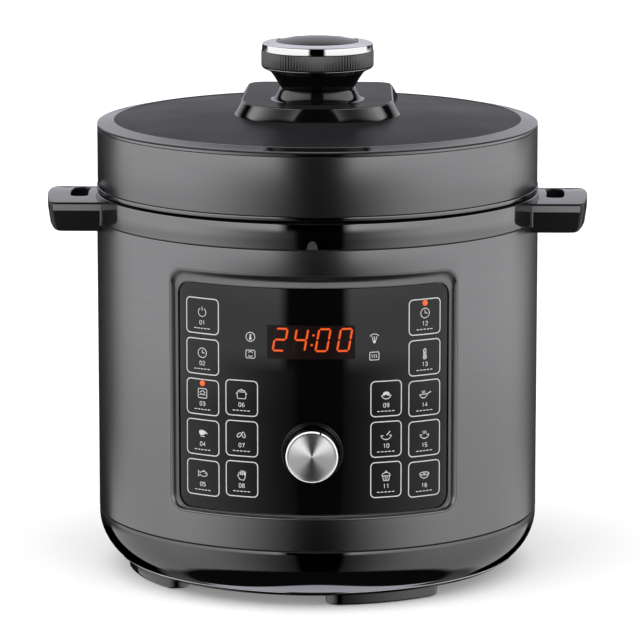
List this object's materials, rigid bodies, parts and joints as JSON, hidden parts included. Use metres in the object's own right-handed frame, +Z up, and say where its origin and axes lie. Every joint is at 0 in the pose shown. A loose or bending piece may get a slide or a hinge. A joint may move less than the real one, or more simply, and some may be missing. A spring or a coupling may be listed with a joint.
{
  "type": "electric pressure cooker",
  "caption": "Round electric pressure cooker: brushed shell, side handles, touch panel with dial, lid locked by a central knob with a vent button, removable pot.",
  "frame": {"origin": "middle of the footprint at worktop height; the round body's axis passes through it", "axes": "+Z up; the control panel faces -Y and the mains inlet +Y; handles along X"},
  "size_m": [0.33, 0.295, 0.3274],
  "materials": {
    "casing": "dark grey moulded",
    "collar": "black gloss moulded",
    "handle": "dark grey moulded",
    "shell": "dark brushed",
    "lid_top": "satin dark grey",
    "panel": "gloss black",
    "bezel": "satin dark grey",
    "chrome": "polished",
    "lights": "lit amber",
    "display": "smoked",
    "board": "circuit board",
    "steel": "stainless",
    "screw": "zinc plated",
    "aluminium": "cast",
    "pot": "coated inside",
    "rubber": "matte",
    "silicone": "translucent white",
    "inner_plastic": "black moulded",
    "cup": "clear",
    "spring": "wire"
  },
  "bodies": {
    "housing": {"base_shell": "casing", "base_cover": "inner_plastic", "base_screws": "screw", "feet": "inner_plastic", "foot_pads": "rubber", "outer_shell": "shell", "collar": "collar", "handle_right": "handle", "handle_left": "handle", "handle_screws": "screw", "panel_bezel": "bezel", "control_panel": "panel", "touch_board": "board", "indicator_lights": "lights", "display_module": "display", "control_board": "board", "encoder_body": "steel", "dial_surround": "inner_plastic", "inner_housing": "steel", "locking_ring": "steel", "ring_screws": "screw", "heating_plate": "aluminium", "heating_element": "steel", "plate_supports": "steel", "sensor_housing": "steel", "sensor_spring": "spring", "pressure_switch": "steel", "thermal_fuse": "inner_plastic", "power_board": "board", "inlet_socket": "inner_plastic", "inlet_screws": "screw", "cup_bracket": "inner_plastic"},
    "pot": {"inner_pot": "pot"},
    "lid": {"lid_cover": "lid_top", "lid_band": "shell", "lid_base": "collar", "lid_screws": "screw", "pedestal": "lid_top", "steam_outlet": "inner_plastic", "spindle_bush": "inner_plastic"},
    "lock": {"knob_body": "collar", "grip_ring": "handle", "chrome_ring": "chrome", "spindle": "steel", "inner_lid": "steel", "gasket": "silicone", "gasket_retainer": "steel", "spindle_nut": "steel", "valve_guard": "steel", "vent_spring": "spring"},
    "vent": {"vent_button": "lid_top", "vent_rod": "steel"},
    "float": {"float_pin": "steel", "float_seal": "silicone"},
    "dial": {"dial_knob": "chrome", "dial_face": "steel", "encoder_shaft": "steel"},
    "cup": {"condensation_cup": "cup"},
    "sensor": {"sensor_cap": "aluminium"}
  },
  "joints": [
    {"name": "pot_lift", "type": "slide", "parent": "housing", "child": "pot", "axis": [0, 0, 1], "range_m": [0, 0.18]},
    {"name": "lid_lift", "type": "slide", "parent": "pot", "child": "lid", "axis": [0, 0, 1], "range_m": [0, 0.12]},
    {"name": "knob_turn", "type": "hinge", "parent": "lid", "child": "lock", "pos_m": [0, 0, 0.31], "axis": [0, 0, 1], "range_deg": [0, 30]},
    {"name": "vent_press", "type": "slide", "parent": "lock", "child": "vent", "axis": [0, 0, -1], "range_m": [0, 0.003], "stiffness_N_per_m": 300, "springref_m": -0.004, "deforming": ["vent_spring"]},
    {"name": "float_rise", "type": "slide", "parent": "lock", "child": "float", "axis": [0, 0, 1], "range_m": [0, 0.003]},
    {"name": "dial_spin", "type": "hinge", "parent": "housing", "child": "dial", "pos_m": [0, -0.14, 0.0975], "axis": [0, -1, 0], "continuous": true},
    {"name": "cup_pull", "type": "slide", "parent": "housing", "child": "cup", "axis": [0, 1, 0], "range_m": [0, 0.05]},
    {"name": "sensor_plunge", "type": "slide", "parent": "housing", "child": "sensor", "axis": [0, 0, -1], "range_m": [0, 0.0015], "stiffness_N_per_m": 400, "springref_m": -0.003, "deforming": ["sensor_spring"]}
  ]
}
